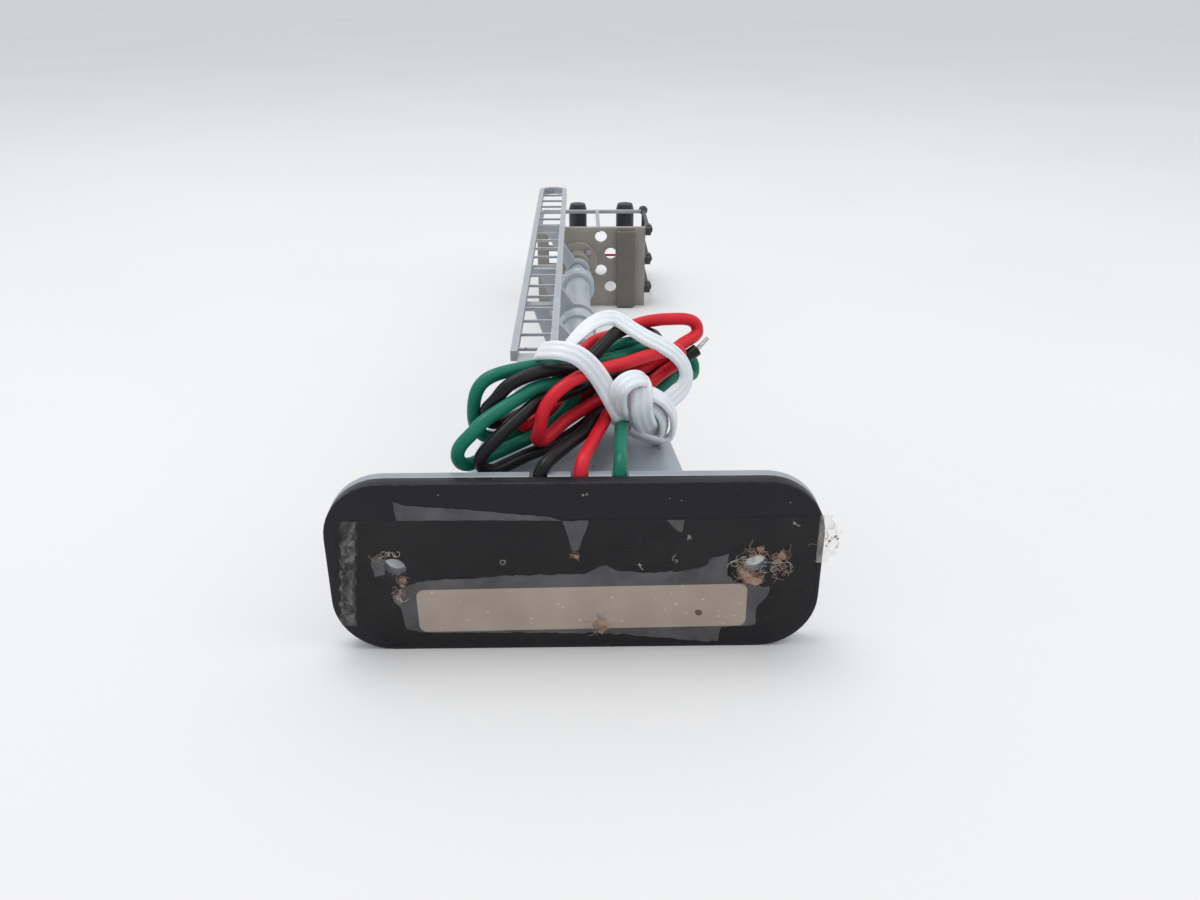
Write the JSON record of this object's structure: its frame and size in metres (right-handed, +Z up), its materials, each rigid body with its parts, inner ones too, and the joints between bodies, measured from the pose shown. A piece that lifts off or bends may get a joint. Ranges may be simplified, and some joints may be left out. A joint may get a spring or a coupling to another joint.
{
  "type": "model railway signal",
  "caption": "Lying model railway light signal with a cast pedestal base, stepped mast, ladder, railed lamp deck, lamp heads and a tied hank of connecting wires.",
  "frame": {"origin": "centre of the underside of the black base cover", "axes": "+Y runs along the mast from the underside of the base to the lamp heads, +Z is up as the signal lies on its side, +X is to the right seen from the base end"},
  "size_m": [0.06, 0.1746, 0.0379],
  "materials": {
    "black_plastic": "moulded black plate, scuffed, with film residue",
    "silver_paint": "satin silver-grey paint on metal",
    "taupe_paint": "satin taupe paint",
    "dark_paint": "satin dark grey-brown paint",
    "black_paint": "satin black paint",
    "label_paper": "aged beige paper label, blank",
    "circuit_laminate": "brown circuit laminate",
    "resistor_body": "coated resistor body",
    "steel": "bright zinc plated steel",
    "tinned_copper": "twisted tinned copper strands",
    "green_lens": "clear green moulded lens",
    "red_lens": "clear red moulded lens",
    "lamp_resin": "clear lamp resin",
    "black_wire": "black wire insulation, satin",
    "red_wire": "red wire insulation, satin",
    "green_wire": "teal green wire insulation, satin",
    "white_plastic": "white ribbed plastic ribbon"
  },
  "bodies": {
    "root": {"base_casting": "silver_paint", "base_cover": "black_plastic", "board_screw_1": "steel", "board_screw_2": "steel", "circuit_board": "circuit_laminate", "corner_knob": "black_paint", "deck": "taupe_paint", "deck_channel": "dark_paint", "deck_screw_1": "steel", "deck_screw_2": "steel", "deck_screw_3": "steel", "deck_screw_4": "steel", "deck_socket": "taupe_paint", "hood_left": "black_paint", "hood_right": "black_paint", "housing_left": "black_paint", "housing_right": "black_paint", "label": "label_paper", "ladder": "silver_paint", "ladder_foot": "silver_paint", "ladder_stay_1": "silver_paint", "ladder_stay_2": "silver_paint", "ladder_stay_3": "silver_paint", "lamp_left": "lamp_resin", "lamp_right": "lamp_resin", "lead_left": "green_wire", "lead_right": "red_wire", "lens_left": "green_lens", "lens_right": "red_lens", "mast_collar_1": "silver_paint", "mast_collar_2": "silver_paint", "mast_lower": "silver_paint", "mast_middle": "silver_paint", "mast_upper": "silver_paint", "post_right": "silver_paint", "post_socket_1": "black_paint", "post_socket_2": "black_paint", "post_socket_3": "black_paint", "railing_bottom": "silver_paint", "railing_right": "black_paint", "railing_top": "silver_paint", "resistor_green": "resistor_body", "resistor_red": "resistor_body", "set_screw": "steel", "target_left": "black_paint", "target_right": "black_paint", "wire_black": "black_wire", "wire_end_black": "tinned_copper", "wire_end_green": "tinned_copper", "wire_end_red": "tinned_copper", "wire_green": "green_wire", "wire_hank": "black_wire", "wire_red": "red_wire", "wire_tie": "white_plastic"}
  },
  "joints": []
}
